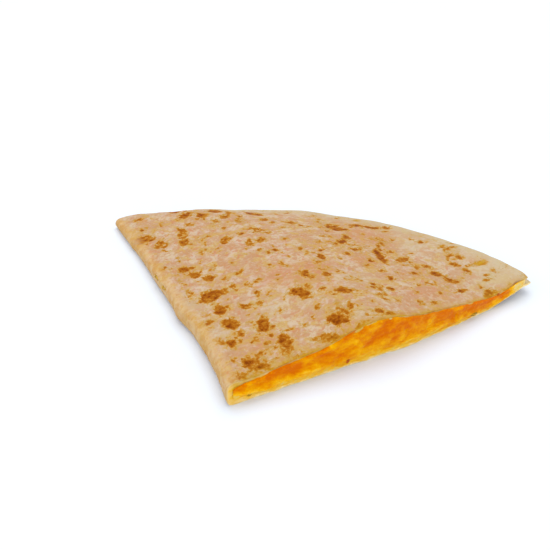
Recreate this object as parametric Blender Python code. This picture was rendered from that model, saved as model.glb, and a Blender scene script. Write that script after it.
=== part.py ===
"""A wedge of quesadilla: one flour tortilla folded over melted cheese, then cut in two across the fold.

The wedge is a quarter of a round. One straight side is the fold, which runs along +Y, the other is the
knife cut, which runs along +X and shows the cheese, and the curved side is the tortilla's rim.
It lies on z = 0 with its origin in the middle of the underside's box. Metres, +Z up.
"""

import math

import bmesh
import bpy
from mathutils import Vector

# Plan: a 10 inch tortilla, folded in half and cut in two.
RADIUS = 0.127
RIM_WAVES = ((0.0008, 7.0, 2.1), (0.0005, 13.0, 0.4))  # each wave's depth, waves in a turn and phase
UPPER_SHORT = 0.0014  # the upper sheet's rim stops this far inside the lower one's
TIP_SHORT = 0.0052  # the rim runs in by this much where the knife left it
TIP_SHORT_SPREAD = math.radians(15.0)
CUT_SWING = 0.0068  # the knife cut swings in by this much at the tip
CUT_SWING_START = 0.50  # share of the radius where it starts to
CUT_SWING_CURVE = 1.2

# Heights of the outer skin above the lower one.
SHEET = 0.0016  # thickness of the tortilla
FOLD_HEIGHT = 0.0078  # at the cut end of the fold
FAR_FOLD_HEIGHT = 0.0052  # at its far end
FOLD_DEPTH = 0.0036  # how far in from the fold its rounding reaches
CHEESE_EDGE_HEIGHT = 0.0047  # over the filling's outer edge
RIM_HEIGHT = 0.0037  # where the two sheets lie together
SWELL = 0.0060  # how far the filling lifts the upper sheet, from the fold nearly to the rim
SWELL_END = 0.98  # share of the way from the fold to the rim
SWELL_LEAN = 0.9
LUMP = 0.0028  # a thicker lump of filling at the cut
LUMP_PLACE = 0.40  # share of the way from the fold to the rim
LUMP_REACH = 0.17
LUMP_LENGTH = 0.060  # how far it runs back from the cut
TIP_LIFT = 0.0030  # the tip of the wedge curls up off the surface it lies on
TIP_OPEN = 0.0016  # and its two sheets part
TIP_START = 0.68  # share of the radius where the tip begins to lift
TIP_SPREAD = math.radians(30.0)  # angle round the rim over which the tip settles down
DIMPLE = 0.00035  # soft rise and fall of the upper sheet
DIMPLE_LENGTH_X = 0.047
DIMPLE_LENGTH_Y = 0.058
DIMPLE_START = 0.018  # distance from the fold where it is in full

# The filling.
FILLING_RADIUS = 0.117
CLEARANCE = 0.0003

# How finely the surfaces are divided.
TORTILLA_ROWS = 26
FILLING_ROWS = 20
RIM_ROW_WIDTH = 0.0052  # width of the last row, at the far end of the fold
SHEET_STEPS = 20
FOLD_STEPS = 8


def smooth(value):
    """0 below 0, 1 above 1 and an even S between."""
    held = min(max(value, 0.0), 1.0)
    return held * held * (3.0 - 2.0 * held)


def rim_width(along, radius=RADIUS):
    """Distance from the fold to the rim, `along` the fold from the cut."""
    plain = math.sqrt(max(radius**2 - along**2, 0.0))
    turn = math.atan2(along, plain)
    waves = sum(depth * math.sin(count * turn + phase) for depth, count, phase in RIM_WAVES)
    return plain + waves - TIP_SHORT * (1.0 - smooth(turn / TIP_SHORT_SPREAD))


def tip_share(across, along):
    """1 at the tip where the cut meets the rim, falling to 0 along the cut and round the rim."""
    out = math.hypot(across, along) / RADIUS
    turn = math.atan2(along, max(across, 1e-9))
    return smooth((out - TIP_START) / (1.0 - TIP_START)) * (1.0 - smooth(turn / TIP_SPREAD))


def lift(across, along):
    """Height of the underside."""
    return TIP_LIFT * tip_share(across, along)


def swell(share, along):
    """How far the filling lifts the upper sheet, between the fold, at share 0, and the rim, at 1."""
    broad = math.sin(math.pi * min(share / SWELL_END, 1.0) ** SWELL_LEAN) ** 2
    off_lump = min(abs(share - LUMP_PLACE) / LUMP_REACH, 1.0)
    lump = math.cos(math.pi / 2.0 * off_lump) ** 2 * (1.0 - smooth(along / LUMP_LENGTH))
    return SWELL * broad * (rim_width(along) / RADIUS) ** 0.8 + LUMP * lump


def fold_height(along):
    return FOLD_HEIGHT + (FAR_FOLD_HEIGHT - FOLD_HEIGHT) * smooth(along / RADIUS)


def height(across, along):
    """Height of the upper skin above the underside, beyond the fold's rounding."""
    width = rim_width(along)
    share = min(across / width, 1.0)
    inner = fold_height(along)
    level = inner + (CHEESE_EDGE_HEIGHT - inner) * share
    level += swell(share, along)
    out = math.hypot(across, along)
    closing = smooth((out - FILLING_RADIUS) / (RADIUS - FILLING_RADIUS))
    level -= (CHEESE_EDGE_HEIGHT - RIM_HEIGHT) * closing
    level += TIP_OPEN * tip_share(across, along) ** 2
    rise = math.sin(math.tau * across / DIMPLE_LENGTH_X + 1.0) * math.sin(math.tau * along / DIMPLE_LENGTH_Y)
    return level + DIMPLE * rise * smooth(across / DIMPLE_START) * (1.0 - closing)


def placed(across, along, up):
    """A point of the wedge, with the cut's swing towards the inside at the tip."""
    past = max(across / RADIUS - CUT_SWING_START, 0.0) / (1.0 - CUT_SWING_START)
    return Vector((across, along + CUT_SWING * past**CUT_SWING_CURVE * (1.0 - along / RADIUS) ** 2, up))


def fold_line(along, depth, lower_reach, upper_reach):
    """Points `depth` inside the skin: in along the lower sheet, round the fold and out along the upper one."""
    points = []
    for step in range(SHEET_STEPS):
        across = lower_reach + (FOLD_DEPTH - lower_reach) * step / SHEET_STEPS
        points.append(placed(across, along, lift(across, along) + depth))
    tall = height(FOLD_DEPTH, along) / 2.0
    floor = lift(FOLD_DEPTH, along)
    for step in range(FOLD_STEPS + 1):
        turn = math.pi * step / FOLD_STEPS
        across = FOLD_DEPTH - (FOLD_DEPTH - depth) * math.sin(turn)
        points.append(placed(across, along, floor + tall - (tall - depth) * math.cos(turn)))
    for step in range(1, SHEET_STEPS + 1):
        across = FOLD_DEPTH + (upper_reach - FOLD_DEPTH) * step / SHEET_STEPS
        points.append(placed(across, along, lift(across, along) + height(across, along) - depth))
    return points


def row_places(radius, rows):
    """Distances along the fold, closer together where the rim curves in to meet it."""
    last_turn = math.acos(RIM_ROW_WIDTH / radius)
    return [radius * math.sin(last_turn * row / (rows - 1)) for row in range(rows)]


def skin(mesh, rows):
    """Quads between neighbouring rows of vertices."""
    for near, far in zip(rows, rows[1:]):
        for step in range(len(near) - 1):
            mesh.faces.new((near[step], near[step + 1], far[step + 1], far[step]))


def strip(mesh, one, other):
    """Quads between two lines of vertices, or a triangle where they meet."""
    for step in range(len(one) - 1):
        corners = (one[step], one[step + 1], other[step + 1], other[step])
        mesh.faces.new(tuple(dict.fromkeys(corners)))


def vertex_rows(mesh, rows):
    return [[mesh.verts.new(point) for point in row] for row in rows]


def tortilla_mesh():
    """One folded sheet: an outer and an inner skin, joined at the cut, the rim and the far end."""
    mesh = bmesh.new()
    outer, inner = [], []
    for along in row_places(RADIUS, TORTILLA_ROWS):
        lower_reach = rim_width(along)
        upper_reach = max(lower_reach - UPPER_SHORT, FOLD_DEPTH + CLEARANCE)
        outer.append(fold_line(along, 0.0, lower_reach, upper_reach))
        inner.append(fold_line(along, SHEET, lower_reach, upper_reach))
    outer, inner = vertex_rows(mesh, outer), vertex_rows(mesh, inner)
    skin(mesh, outer)
    skin(mesh, inner)
    for end in (0, -1):
        strip(mesh, outer[end], inner[end])
        strip(mesh, [row[end] for row in outer], [row[end] for row in inner])
    return mesh


def filling_mesh():
    """Melted cheese that fills the fold from the cut almost to the rim."""
    mesh = bmesh.new()
    depth = SHEET + CLEARANCE
    rows = []
    for along in row_places(FILLING_RADIUS, FILLING_ROWS):
        reach = math.sqrt(FILLING_RADIUS**2 - along**2)
        rows.append(fold_line(along, depth, reach, reach))
    rows = vertex_rows(mesh, rows)
    skin(mesh, rows)
    strip(mesh, [row[0] for row in rows], [row[-1] for row in rows])
    nose = SHEET_STEPS + FOLD_STEPS // 2
    for end in (0, -1):
        strip(mesh, rows[end][: nose + 1], rows[end][: nose - 1 : -1])
    return mesh


def food_material(name, colour, roughness):
    material = bpy.data.materials.new(name)
    material.use_nodes = True
    shader = material.node_tree.nodes["Principled BSDF"]
    shader.inputs["Base Color"].default_value = (*colour, 1.0)
    shader.inputs["Roughness"].default_value = roughness
    shader.inputs["Metallic"].default_value = 0.0
    return material


def add_piece(name, mesh, material, origin):
    """Turns a finished bmesh into a named object, moved so that `origin` is the world's origin."""
    bmesh.ops.translate(mesh, vec=-origin, verts=mesh.verts)
    bmesh.ops.recalc_face_normals(mesh, faces=mesh.faces)
    data = bpy.data.meshes.new(name)
    mesh.to_mesh(data)
    mesh.free()
    data.shade_smooth()
    data.set_sharp_from_angle(angle=math.radians(40.0))
    data.materials.append(material)
    piece = bpy.data.objects.new(name, data)
    bpy.context.scene.collection.objects.link(piece)
    return piece


def box_middle(mesh):
    """The middle of the mesh's box in plan, on the surface that it lies on."""
    across = [vertex.co.x for vertex in mesh.verts]
    along = [vertex.co.y for vertex in mesh.verts]
    return Vector(((min(across) + max(across)) / 2.0, (min(along) + max(along)) / 2.0, 0.0))


def main():
    for old in list(bpy.data.objects):
        bpy.data.objects.remove(old, do_unlink=True)
    tortilla = tortilla_mesh()
    origin = box_middle(tortilla)
    add_piece("tortilla", tortilla, food_material("tortilla", (0.61, 0.40, 0.21), 0.75), origin)
    add_piece("filling", filling_mesh(), food_material("melted_cheese", (0.78, 0.25, 0.01), 0.35), origin)


main()
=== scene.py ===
"""Looks of a quesadilla wedge: a toasted flour tortilla folded over melted cheese and cut in two.

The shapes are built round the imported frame. Wedge coordinates are in metres from the corner where the
fold meets the cut: `across` runs from the fold to the rim, `along` from the cut to the far end of the
fold, and heights are above the table. `sheet` is the distance from the fold along the tortilla, positive
on the upper sheet and negative on the lower one, so a pattern in it carries on round the fold.
"""

import math

import bpy
import numpy as np
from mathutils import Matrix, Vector


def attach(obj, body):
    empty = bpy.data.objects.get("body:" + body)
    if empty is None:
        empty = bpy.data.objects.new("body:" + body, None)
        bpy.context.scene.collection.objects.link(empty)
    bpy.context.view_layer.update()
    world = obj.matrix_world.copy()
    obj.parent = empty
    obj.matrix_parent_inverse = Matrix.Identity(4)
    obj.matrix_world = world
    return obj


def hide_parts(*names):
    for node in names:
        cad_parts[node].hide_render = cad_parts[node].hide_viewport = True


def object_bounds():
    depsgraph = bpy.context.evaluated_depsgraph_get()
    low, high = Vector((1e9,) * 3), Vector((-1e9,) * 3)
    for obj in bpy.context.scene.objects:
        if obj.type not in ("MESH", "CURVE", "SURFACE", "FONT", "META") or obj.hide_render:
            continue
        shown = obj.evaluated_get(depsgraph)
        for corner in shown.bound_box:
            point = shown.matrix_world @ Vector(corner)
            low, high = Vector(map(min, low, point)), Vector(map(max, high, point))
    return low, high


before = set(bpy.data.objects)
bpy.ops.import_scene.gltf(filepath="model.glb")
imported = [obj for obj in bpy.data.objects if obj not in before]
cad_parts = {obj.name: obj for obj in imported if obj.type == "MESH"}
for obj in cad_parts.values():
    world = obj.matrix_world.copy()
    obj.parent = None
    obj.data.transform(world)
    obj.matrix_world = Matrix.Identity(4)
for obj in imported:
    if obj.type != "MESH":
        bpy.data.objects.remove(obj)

MM = 0.001
CAD_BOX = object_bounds()

# The wedge, nearly as the CAD has it.
RADIUS = 0.127
RIM_WAVES = ((0.0008, 7.0, 2.1), (0.0005, 13.0, 0.4))  # each wave's depth, waves in a turn and phase
UPPER_SHORT = 0.0014
UPPER_SHORT_TIP = 0.0011  # and shorter still by this at the tip
TIP_SHORT = 0.0052
TIP_SHORT_SPREAD = math.radians(15.0)
CUT_SWING = 0.0074
CUT_SWING_START = 0.50
CUT_SWING_CURVE = 1.2
SHEET = 0.0016
FOLD_HEIGHT = 0.0078
FAR_FOLD_HEIGHT = 0.0052
FOLD_DEPTH = 0.0036
CHEESE_EDGE_HEIGHT = 0.0047
RIM_HEIGHT = 0.0037
SWELL = 0.0060
SWELL_END = 0.98
SWELL_LEAN = 0.9
LUMP = 0.0028
LUMP_PLACE = 0.40
LUMP_REACH = 0.17
LUMP_LENGTH = 0.060
TIP_LIFT = 0.0035
TIP_OPEN = 0.0002
TIP_START = 0.79
TIP_SPREAD = math.radians(30.0)
FILLING_RADIUS = 0.117
CORNER = Vector((CAD_BOX[0][0], CAD_BOX[0][1], 0.0))  # of the wedge coordinates, in the frame

# Finer shape of the tortilla, seen close up.
FOLD_SQUARENESS = 0.85  # under 1 makes the fold's rounding squarer
CORNER_SQUARENESS = 0.55  # and at the cut
FOOT_SQUARENESS = 0.7  # and the lower half is squarer by this
CORNER_RISE = 0.0007  # the fold stands a little taller at the cut
CORNER_REACH = 0.016
PRESSED = 0.00025  # the knife pressed the upper sheet down at the cut
PRESSED_LENGTH = 0.0014
RIM_PRESS = 0.0007  # the rim is pressed nearly shut, more in some places than in others
RIM_PRESS_WAVER = 0.0006
NICK = 0.0010  # the upper sheet's cut edge is nicked back a little before the tip
NICK_PLACE = 0.1165
NICK_REACH = 0.0032
RIM_BULGES = ((0.0, 0.0017, 3.5), (13.0, -0.0017, 4.5), (27.0, 0.0011, 10.0))  # turn in degrees, depth, reach
FOLD_INSET = 0.0013  # between its ends the fold lies a little further in
# Each dent's place along the fold, depth and reach.
FOLD_DENTS = (
    (0.0475, -0.0008, 0.005), (0.036, 0.0005, 0.005), (0.027, 0.0006, 0.008), (0.0, -0.0005, 0.004),
)
THIN_EDGE = 0.62  # the sheet's thickness at the rim, as a share
THIN_LENGTH = 0.006
CUT_THICKNESS = 0.82  # and at the cut
FOLD_THICKENING = 0.75  # the sheet is bunched up in the fold, and thicker by this share
FOLD_THICK_REACH = 0.0075
WRINKLE = 0.00022  # how far the wrinkles by the fold and the cut stand out
WRINKLE_WIDTH = 0.0034
WRINKLE_LENGTH = 0.024
BLISTER_SINK = 0.00022  # how far in the middle of a blister lies

# How finely it is divided.
ROWS = 241
LOWER_STEPS = 96
FOLD_STEPS = 14
UPPER_STEPS = 226
INNER_STRIDE = 6
EDGE_LEVELS = 4
EDGE_BULGE = 0.20 * MM  # how far the cut edge of the sheet is rounded out
EDGE_ROUGH = 0.06 * MM
SHARP = math.radians(48.0)  # a crease sharper than this is not shaded as rounded
LAST_ROW_WIDTH = 0.0052

# The browned blisters of the upper sheet that show best, in millimetres from the corner: place across and
# along, length, width, turn in degrees and strength.
BLISTERS = (
    # Round the front corner and up the fold.
    (6, 2, 3, 2, 0, 0.65), (12, 2.5, 5, 2, 0, 0.6), (9, 6.5, 4, 3, 70, 0.7),
    (13.5, 7.5, 6, 2.5, 15, 0.6), (23, 9, 6.5, 3.2, 80, 0.95), (18, 11.5, 2.5, 1.5, 90, 0.5),
    (5.5, 20, 3.5, 2.2, 90, 0.85), (8, 18, 4, 3, 70, 1.0), (12, 27, 7, 4.6, 100, 1.0),
    (13, 20.5, 3.5, 2.4, 120, 0.85), (6.5, 32, 4, 2.4, 20, 0.85), (21, 20.5, 8.5, 3.8, 70, 0.95),
    (12, 37, 6, 4, 80, 1.0), (20, 33, 4.5, 2.2, 120, 0.8), (7, 36.5, 2, 1.5, 30, 0.7),
    (13, 46, 8, 5.5, 20, 1.0), (17.5, 46, 4, 2.6, 150, 0.9), (7, 52, 3.6, 2.4, 90, 0.7),
    (13, 62.5, 4.5, 3, 110, 0.85), (16.5, 57.5, 4.2, 2.8, 135, 0.95), (13.5, 68, 4, 3, 0, 0.7),
    (5.5, 56.5, 1.6, 1.6, 0, 0.55), (16, 15.5, 2.5, 2, 60, 0.5),
    # Beside the cut and over the lump.
    (35, 3, 8, 4, 150, 0.66), (41, 7.5, 6.5, 4.6, 120, 1.0), (32, 13, 1.8, 1.2, 70, 0.9),
    (27, 13, 2.5, 1.5, 0, 0.5), (38.5, 28, 8, 3.8, 105, 1.0), (39.5, 17, 3, 2, 60, 0.5),
    (44.5, 11, 2.5, 1.5, 80, 0.6), (47.5, 10, 2.5, 2, 20, 0.6), (54.5, 4, 2.6, 1.9, 30, 1.0),
    (51.5, 20, 5, 3.2, 155, 1.0), (54, 17, 5, 4, 70, 0.42), (52.5, 33, 3.4, 2.3, 90, 0.9),
    (50.5, 29.5, 2, 2, 0, 0.6), (46, 37.5, 6, 2.8, 100, 0.95), (31, 44.5, 3, 2.8, 60, 0.8),
    (27, 43.5, 3, 2.5, 120, 0.65), (27, 37, 3.6, 1.9, 70, 0.75), (21.5, 53.5, 2.5, 2, 60, 0.75),
    (27, 53.5, 2.5, 1.6, 70, 0.5), (43, 48.5, 4.5, 1.9, 100, 0.65), (53.5, 38.5, 3.5, 3, 0, 0.45),
    (58.5, 26.5, 2.2, 1.8, 0, 0.5),
    # Further out.
    (62, 14, 4.5, 1.9, 5, 0.7), (68.5, 17.5, 2.5, 2.3, 0, 0.9), (66, 19.5, 1.7, 1.5, 0, 0.6),
    (73.5, 23.5, 3.6, 2.1, 35, 0.9), (74.5, 29.5, 3.5, 2, 160, 0.5), (71.5, 35.5, 2.6, 1.9, 45, 0.75),
    (73.5, 6, 2.9, 2, 90, 0.75), (78, 4, 2.9, 2.1, 140, 0.9), (76, 11.5, 4, 2, 55, 0.45),
    (78, 20.5, 3, 2, 50, 0.5), (85.5, 24, 2.9, 1.9, 150, 0.95), (94, 28, 4.2, 2.3, 160, 0.8),
    (89, 27.5, 2.5, 1.4, 60, 0.5), (93.5, 21, 5, 3.2, 115, 1.0), (95.5, 15, 6, 3.6, 130, 0.88),
    (95, 7.5, 4.6, 2, 0, 0.95), (103.5, 2, 5.5, 3.8, 15, 1.0), (103, 15.5, 3, 1.7, 30, 0.65),
    (105, 24.5, 2.9, 2.5, 80, 0.95), (108, 31, 3, 1.9, 30, 0.7), (111, 28, 3, 2.2, 90, 0.7),
    (109, 9, 4, 2, 170, 0.5), (114, 19, 6.5, 4, 165, 0.5), (115, 12, 2.5, 1.8, 120, 0.5),
    (89, 35.5, 3.8, 2.1, 35, 0.9), (58.5, 47.5, 5, 2.8, 70, 0.85), (57.5, 51.5, 2.6, 1.7, 120, 0.6),
    (69.5, 46, 2.2, 2.1, 0, 0.85), (74.5, 49, 2.8, 1.9, 0, 0.85), (75, 38, 2.5, 1.9, 0, 0.75),
    (80.5, 39, 6.5, 2.8, 75, 1.0), (82, 44, 5, 2.2, 65, 0.95), (74, 57.5, 4.2, 2.2, 30, 0.88),
    (65, 60, 2.2, 1.7, 0, 0.8), (105.5, 46.5, 2.7, 2.4, 0, 0.8), (103.5, 50.5, 1.8, 1.4, 0, 0.65),
    (111, 38.5, 2.7, 2, 20, 0.65), (95, 68, 6.5, 3, 140, 0.95), (90.5, 71.5, 8, 2.6, 145, 0.95),
    (102.5, 66.5, 4, 2.8, 20, 0.75), (87, 50, 8, 3, 40, 0.45), (97, 54, 6, 2.4, 30, 0.42),
)
# Soft places on the upper sheet, in millimetres from the corner: place across and along, and reach.
PALE_PLACES = (
    (6, 44, 7), (7, 24, 6), (26, 26, 6), (49, 5, 5), (110, 8, 8), (99, 44, 7), (61, 27, 6), (40, 23, 5),
)
WARM_PLACES = (
    (48, 38, 8), (54, 40, 4), (37, 43, 6), (91, 51, 6), (86, 62, 10), (86, 24, 4), (76, 12, 3),
    (16, 12, 5), (42, 3, 4), (84, 9, 5), (73, 38, 5),
)
GOLDEN_PLACES = (
    (113, 19, 1.3), (115, 19.3, 1.7), (117.2, 19.6, 1.2), (111, 39.5, 0.9), (95, 79, 2.2),
)
BLISTER_EDGE = 0.0007  # half the width over which a blister's dark middle fades
HALO_REACH = 0.0013  # how far out the middle of its golden halo's edge lies
HALO_EDGE = 0.0012  # half the width over which that fades
HALO_STRENGTH = 0.38
HIDDEN_FROM = 0.060  # further along than this, the large blisters are scattered too
LARGE_SCATTERED = 30
LARGE_BELOW = 70
SMALL_BLISTERS = 260

# How strongly the broad toasting browns each place, from 0 to 1.
TOASTED_ALL_OVER = 0.18
TOASTED_CORNER = 0.40
TOASTED_BY_CUT = 0.30
TOASTED_INWARD = 0.22
# The fold's side is toasted less because it never touched the pan, and is set lighter still as painted light.
FOLD_SIDE_TOAST_WITH_PAINTED_LIGHT = 0.46
# And how strongly the soft places and the rim are coloured; the rim's paleness is capped at 1.
PALE_IN_PLACES = 0.45
GOLDEN_STRENGTH = 0.85
RIM_PALENESS = 1.2
RIM_PALE_LENGTH = 9.0 * MM


def seen(red, green, blue, light=1.0):
    """A colour as seen on a screen, 0 to 255, under so much light, as the linear colour of the surface."""
    def linear(value):
        share = value / 255.0
        return share / 12.92 if share <= 0.04045 else ((share + 0.055) / 1.055) ** 2.4
    return (linear(red) / light, linear(green) / light, linear(blue) / light, 1.0)


def placed(name, data):
    """A new object in the scene."""
    thing = bpy.data.objects.new(name, data)
    bpy.context.scene.collection.objects.link(thing)
    return thing


# ---------------------------------------------------------------- soft patterns


def smooth(value):
    """0 below 0, 1 above 1 and an even S between."""
    held = np.clip(value, 0.0, 1.0)
    return held * held * (3.0 - 2.0 * held)


def lattice(u, v, size, seed, knots_a_side=160):
    """Soft noise between -1 and 1 with bumps about `size` wide."""
    knots = np.random.default_rng(seed).uniform(-1.0, 1.0, (knots_a_side, knots_a_side))
    u, v = np.asarray(u) / size, np.asarray(v) / size
    column, row = np.floor(u).astype(int), np.floor(v).astype(int)
    right, far = smooth(u - column), smooth(v - row)

    def knot(step_u, step_v):
        return knots[(row + step_v) % knots_a_side, (column + step_u) % knots_a_side]

    near_side = knot(0, 0) * (1.0 - right) + knot(1, 0) * right
    far_side = knot(0, 1) * (1.0 - right) + knot(1, 1) * right
    return near_side * (1.0 - far) + far_side * far


def layered(u, v, size, seed, layers=3):
    """Noise with finer noise on it, each layer half as wide and half as strong."""
    total = sum(lattice(u, v, size / 2**layer, seed + layer) / 2**layer for layer in range(layers))
    return total / (2.0 - 2.0 ** (1 - layers))


# ---------------------------------------------------------------- shape of the wedge


def rim_width(along):
    """Distance from the fold to the rim."""
    plain = np.sqrt(np.maximum(RADIUS**2 - along**2, 0.0))
    turn = np.arctan2(along, plain)
    waves = sum(depth * np.sin(count * turn + phase) for depth, count, phase in RIM_WAVES)
    bulges = sum(
        depth * np.exp(-(((np.degrees(turn) - place) / reach) ** 2)) for place, depth, reach in RIM_BULGES
    )
    return plain + waves + bulges - TIP_SHORT * (1.0 - smooth(turn / TIP_SHORT_SPREAD))


def upper_width(along):
    """Distance from the fold to the upper sheet's rim, which lies a little inside the lower one's."""
    return rim_width(along) - UPPER_SHORT - UPPER_SHORT_TIP * np.exp(-along / 0.006)


def tip_share(across, along):
    """1 at the tip where the cut meets the rim, falling to 0 along the cut and round the rim."""
    out = np.hypot(across, along) / RADIUS
    turn = np.arctan2(along, np.maximum(across, 1e-9))
    return smooth((out - TIP_START) / (1.0 - TIP_START)) * (1.0 - smooth(turn / TIP_SPREAD))


def lift(across, along):
    """Height of the underside."""
    return TIP_LIFT * tip_share(across, along)


def swell(share, along):
    """How far the filling lifts the upper sheet, between the fold, at share 0, and the rim, at 1."""
    broad = np.sin(math.pi * np.minimum(share / SWELL_END, 1.0) ** SWELL_LEAN) ** 2
    off_lump = np.minimum(np.abs(share - LUMP_PLACE) / LUMP_REACH, 1.0)
    lump = np.cos(math.pi / 2.0 * off_lump) ** 2 * (1.0 - smooth(along / LUMP_LENGTH))
    return SWELL * broad * (rim_width(along) / RADIUS) ** 0.8 + LUMP * lump


def rim_pressing(across, along):
    """How far the upper sheet is pressed down towards the lower one near the rim."""
    out = np.hypot(across, along)
    turn = np.arctan2(along, np.maximum(across, 1e-9))
    depth = RIM_PRESS + RIM_PRESS_WAVER * lattice(turn * RADIUS, 0.0 * turn, 0.016, 12)
    near_rim = smooth((out - FILLING_RADIUS + 0.004) / (RADIUS - FILLING_RADIUS))
    return depth * near_rim * (1.0 - tip_share(across, along))


def height(across, along):
    """Height of the upper skin above the underside, beyond the fold's rounding."""
    width = rim_width(along)
    share = np.minimum(across / width, 1.0)
    inner = FOLD_HEIGHT + (FAR_FOLD_HEIGHT - FOLD_HEIGHT) * smooth(along / RADIUS)
    level = inner + (CHEESE_EDGE_HEIGHT - inner) * share + swell(share, along)
    out = np.hypot(across, along)
    closing = smooth((out - FILLING_RADIUS) / (RADIUS - FILLING_RADIUS))
    level = level - (CHEESE_EDGE_HEIGHT - RIM_HEIGHT) * closing
    level = level + TIP_OPEN * tip_share(across, along) ** 2
    rolling = layered(across, along, 0.030, 11, 2) * 0.0005 * smooth(across / 0.02) * (1.0 - closing)
    corner = CORNER_RISE * np.exp(-np.hypot(across, along) / CORNER_REACH)
    return level + rolling + corner - rim_pressing(across, along)


def cut_swing(across, along):
    """How far the cut end of the wedge swings in towards the tip."""
    past = np.maximum(across / RADIUS - CUT_SWING_START, 0.0) / (1.0 - CUT_SWING_START)
    return CUT_SWING * past**CUT_SWING_CURVE * (1.0 - along / RADIUS) ** 2


def fold_inset(across, along):
    """How far in the fold lies from a straight line between its ends."""
    inset = FOLD_INSET * smooth(along / 0.016) * (1.0 - smooth((along - 0.085) / 0.040))
    for place, depth, reach in FOLD_DENTS:
        inset = inset + depth * np.exp(-(((along - place) / reach) ** 2))
    return inset * np.exp(-across / 0.015)


def fold_profile(along, depth, turns):
    """Across and up of the fold's rounding, `depth` inside the skin, for turns from 0 below to pi above."""
    tall = height(FOLD_DEPTH, along) / 2.0
    loosening = smooth(along / CORNER_REACH)
    squareness = CORNER_SQUARENESS + (FOLD_SQUARENESS - CORNER_SQUARENESS) * loosening
    squareness = squareness * np.where(turns < math.pi / 2.0, FOOT_SQUARENESS, 1.0)
    bulge = np.sin(turns) ** squareness
    rise = np.sign(np.cos(turns)) * np.abs(np.cos(turns)) ** squareness
    across = FOLD_DEPTH - (FOLD_DEPTH - depth) * bulge
    return across, lift(FOLD_DEPTH, along) + tall - (tall - depth) * rise


def even_turns(steps):
    """Turns round the fold whose points are evenly spaced along it."""
    turns = np.linspace(0.0, math.pi, 400)
    across, up = fold_profile(0.0, 0.0, turns)
    length = np.concatenate(([0.0], np.cumsum(np.hypot(np.diff(across), np.diff(up)))))
    return np.interp(np.linspace(0.0, length[-1], steps + 1), length, turns)


# ---------------------------------------------------------------- browning


def scattered(count, length_range, strength_range, seed, side, density):
    """Seeded blisters on the upper sheet, side 1, or the lower one, side -1, kept where density allows."""
    draw = np.random.default_rng(seed)
    kept = []
    while len(kept) < count:
        across, along = draw.uniform(0.0, RADIUS, 2)
        length = length_range[0] + (length_range[1] - length_range[0]) * draw.random() ** 2
        shape = (length, length * draw.uniform(0.45, 0.9), draw.uniform(0.0, math.pi))
        strength = draw.uniform(*strength_range)
        if math.hypot(across, along) < RADIUS - 2.0 * MM and draw.random() < density(across, along):
            kept.append((side * across, along, *shape, strength))
    return kept


def toasted_density(across, along):
    """Blisters are thickest by the fold and by the front corner, and thin out towards the rim."""
    by_fold = math.exp(-across / 0.030)
    by_corner = math.exp(-math.hypot(across, along) / 0.045)
    return min(0.28 + 0.55 * by_fold + 0.5 * by_corner, 1.0) if across > 4.5 * MM else 0.04


def hidden_density(across, along):
    return toasted_density(across, along) if along > HIDDEN_FROM else 0.0


def even_density(across, along):
    return 0.8


def large_blisters():
    shown = [
        (across * MM, along * MM, length * MM, width * MM, math.radians(turn), strength)
        for across, along, length, width, turn, strength in BLISTERS
    ]
    far = scattered(LARGE_SCATTERED, (3.5 * MM, 9.0 * MM), (0.7, 1.0), 21, 1, hidden_density)
    below = scattered(LARGE_BELOW, (4.0 * MM, 11.0 * MM), (0.65, 1.0), 22, -1, even_density)
    return shown + far + below


def small_blisters():
    above = scattered(SMALL_BLISTERS, (0.9 * MM, 2.4 * MM), (0.45, 1.0), 23, 1, toasted_density)
    below = scattered(SMALL_BLISTERS, (1.0 * MM, 3.2 * MM), (0.40, 0.95), 24, -1, even_density)
    return above + below


def stamp(sheet, along, blisters, raggedness):
    """0 to 1 at the blisters, fading across their uneven edges."""
    total = np.zeros_like(sheet)
    for place, row, length, width, turn, strength in blisters:
        reach = length + 2.8 * MM
        near = (np.abs(sheet - place) < reach) & (np.abs(along - row) < reach)
        forward = (sheet[near] - place) * math.cos(turn) + (along[near] - row) * math.sin(turn)
        sideways = (along[near] - row) * math.cos(turn) - (sheet[near] - place) * math.sin(turn)
        mean_radius = 0.5 * math.sqrt(length * width)
        off = np.hypot(forward / (0.5 * length), sideways / (0.5 * width))
        outside = (off - 1.0) * mean_radius + raggedness[near] * (0.4 * MM + 0.30 * mean_radius)
        middle = strength * smooth(0.62 - 0.5 * outside / BLISTER_EDGE)
        halo = HALO_STRENGTH * strength * smooth(0.5 - 0.5 * (outside - HALO_REACH) / HALO_EDGE)
        total[near] = np.maximum(total[near], np.maximum(middle, halo))
    return total


def blistering(sheet, along):
    ragged = layered(sheet, along, 2.4 * MM, 31)
    large = stamp(sheet, along, large_blisters(), ragged)
    small = stamp(sheet, along, small_blisters(), ragged)
    return np.clip(np.maximum(large, small), 0.0, 1.0)


def toasting(sheet, along):
    """Broad toasting, strongest by the front corner and beside the cut, and more even on the fold's side."""
    across = np.abs(sheet)
    on_side = 1.0 - smooth((across - 2.2 * MM) / (2.6 * MM))
    corner = np.exp(-(((across - 0.018) / 0.013) ** 2) - (along / 0.014) ** 2)
    by_cut = TOASTED_BY_CUT * np.exp(-along / 0.0065) * np.exp(-(((across - 0.022) / 0.034) ** 2))
    inward = TOASTED_INWARD * np.exp(-np.hypot(across - 0.070, along - 0.062) ** 2 / 0.020**2)
    drift = 0.40 * layered(sheet, along, 11.0 * MM, 51) + 0.25 * layered(sheet, along, 4.5 * MM, 53)
    spread = np.clip(TOASTED_ALL_OVER + TOASTED_CORNER * corner + by_cut + inward + drift, 0.0, 1.0)
    # The fold's side: less toasted, and partly painted lighter for the light falling on it.
    side = np.clip(FOLD_SIDE_TOAST_WITH_PAINTED_LIGHT + 0.35 * layered(sheet * 2.0, along, 12.0 * MM, 54), 0.0, 1.0)
    return spread + (side - spread) * on_side


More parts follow.
